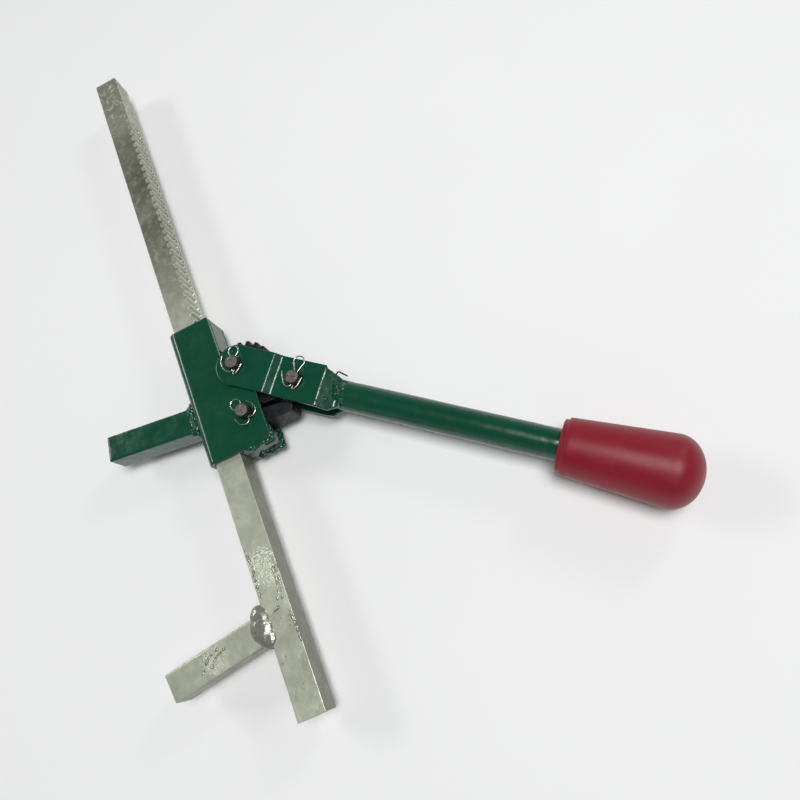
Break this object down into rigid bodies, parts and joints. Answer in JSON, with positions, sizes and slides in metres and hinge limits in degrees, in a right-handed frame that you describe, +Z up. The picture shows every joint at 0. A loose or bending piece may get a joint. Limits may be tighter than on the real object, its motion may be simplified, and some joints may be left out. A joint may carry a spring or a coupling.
{
  "type": "strapping tensioner",
  "caption": "Rack-and-lever strapping tensioner: a toothed square bar slides in a folded housing, driven by a ratchet wheel and hand lever to draw its welded prongs together.",
  "frame": {"origin": "middle of the bounding box in X and Y, on the plane that the tool lies on", "axes": "+Y along the square bar towards its toothed end, +X from the prongs' side to the lever's side, +Z up, along the three pins towards their cottered ends"},
  "size_m": [0.3766, 0.573, 0.05],
  "materials": {
    "green_paint": "gloss",
    "zinc_plate": "lumpy bright zinc plating",
    "pin_steel": "dull, slightly browned",
    "cotter_wire": "bright wire",
    "spring_wire": "black oiled wire",
    "black_steel": "black oxide",
    "bronze": "machined",
    "red_grip": "satin moulded plastic"
  },
  "bodies": {
    "housing": {"housing_channel": "green_paint", "top_guide_block": "green_paint", "bottom_guide_block": "green_paint", "housing_prong": "green_paint", "pivot_pin": "pin_steel", "pivot_cotter": "cotter_wire", "wheel_spacer_front": "pin_steel", "wheel_spacer_rear": "pin_steel", "holding_pawl_pin": "pin_steel", "holding_pawl_cotter": "cotter_wire", "holding_pawl_washers": "pin_steel", "holding_pawl_spring": "spring_wire"},
    "bar": {"rack_bar": "zinc_plate", "rack_prong": "zinc_plate"},
    "wheel": {"ratchet_wheel": "black_steel", "wheel_bush": "bronze"},
    "lever": {"lever_plate_front": "green_paint", "lever_plate_rear": "green_paint", "lever_rod": "green_paint", "lever_grip": "red_grip", "drive_pawl_pin": "pin_steel", "drive_pawl_cotter": "cotter_wire", "drive_pawl_washers": "pin_steel", "drive_pawl_spring": "spring_wire"},
    "drive_pawl": {"drive_pawl": "black_steel"},
    "holding_pawl": {"holding_pawl": "black_steel"}
  },
  "joints": [
    {"name": "bar_slide", "type": "slide", "parent": "housing", "child": "bar", "axis": [0, 1, 0], "range_m": [-0.2492, 0]},
    {"name": "wheel_spin", "type": "hinge", "parent": "housing", "child": "wheel", "pos_m": [-0.06884, -0.044, 0.024], "axis": [0, 0, 1], "range_deg": [-0.5, 630.5]},
    {"name": "lever_swing", "type": "hinge", "parent": "housing", "child": "lever", "pos_m": [-0.06884, -0.044, 0.024], "axis": [0, 0, 1], "range_deg": [0, 108]},
    {"name": "drive_pawl_tilt", "type": "hinge", "parent": "lever", "child": "drive_pawl", "pos_m": [-0.03196, -0.07473, 0.024], "axis": [0, 0, 1], "range_deg": [-6.5, 3], "stiffness_Nm_per_rad": 0.3},
    {"name": "holding_pawl_tilt", "type": "hinge", "parent": "housing", "child": "holding_pawl", "pos_m": [-0.075, -0.0802, 0.024], "axis": [0, 0, 1], "range_deg": [-9.5, 2.5], "stiffness_Nm_per_rad": 0.3}
  ],
  "couplings": [
    {"joint": "wheel_spin", "follows": "bar_slide", "rad_per_m": -44.123}
  ]
}
